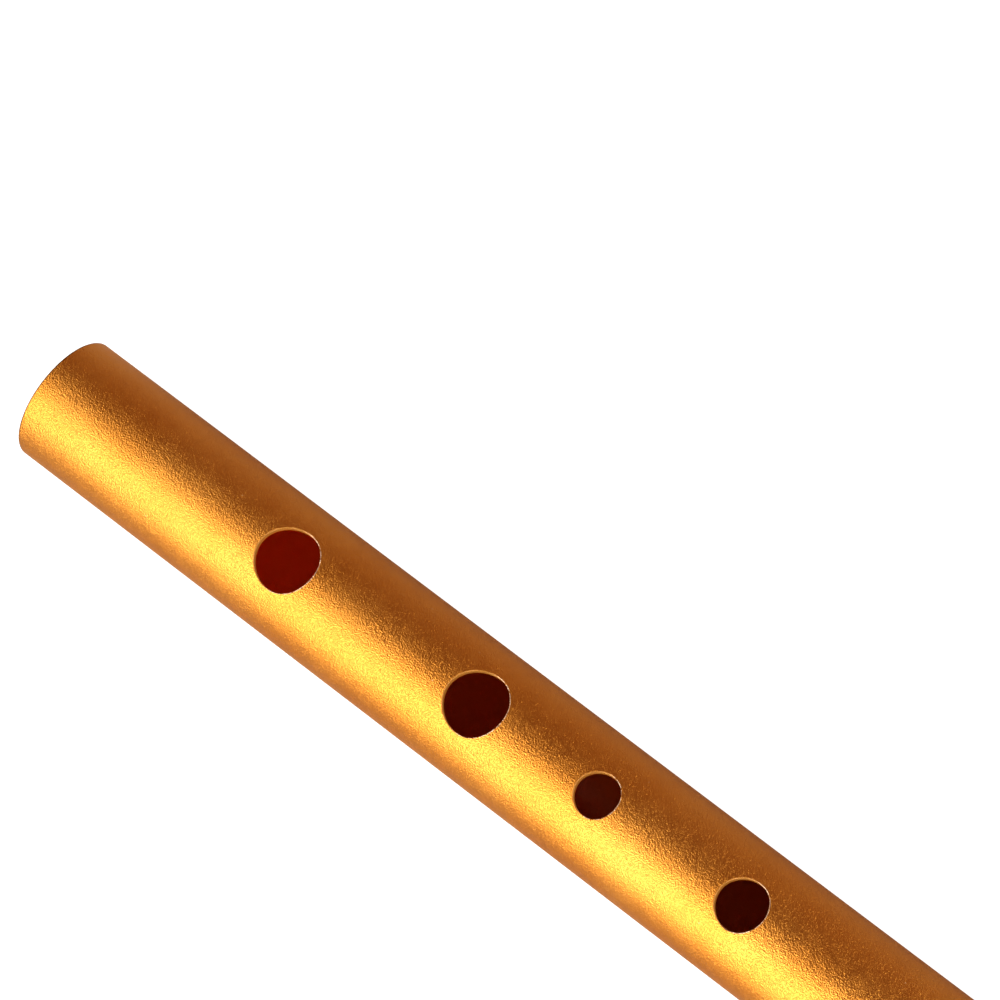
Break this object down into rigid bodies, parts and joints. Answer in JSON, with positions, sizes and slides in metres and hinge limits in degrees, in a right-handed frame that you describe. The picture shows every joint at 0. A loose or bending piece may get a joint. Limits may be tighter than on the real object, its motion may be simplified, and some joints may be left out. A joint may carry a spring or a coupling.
{
  "type": "tin whistle",
  "caption": "Straight metal whistle with a gold coated tube, a row of finger holes, a brass tuning slide and a black beaked mouthpiece with a window.",
  "frame": {"origin": "centre of the tube's bore at its open foot end face", "axes": "+X along the tube's axis from the foot towards the mouthpiece, +Z out of the finger holes and the window, +Y to the side"},
  "size_m": [0.303, 0.02, 0.02],
  "materials": {
    "gold_coat": "satin",
    "brass": "satin",
    "rubber": "matte",
    "black_acetal": "satin",
    "natural_acetal": "satin"
  },
  "bodies": {
    "body": {"body_tube": "gold_coat", "body_ferrule": "brass", "tuning_slide": "brass"},
    "slide_rings": {"o_ring_lower": "rubber", "o_ring_upper": "rubber"},
    "head": {"head_ferrule": "brass", "head_barrel": "black_acetal", "beak_sleeve": "black_acetal", "fipple_block": "natural_acetal", "block_pins": "brass"}
  },
  "joints": [
    {"name": "tuning", "type": "slide", "parent": "body", "child": "slide_rings", "axis": [1, 0, 0], "range_m": [-0.002, 0.02]},
    {"name": "head_turn", "type": "hinge", "parent": "slide_rings", "child": "head", "pos_m": [0.20605, 0, 0], "axis": [1, 0, 0], "continuous": true}
  ]
}
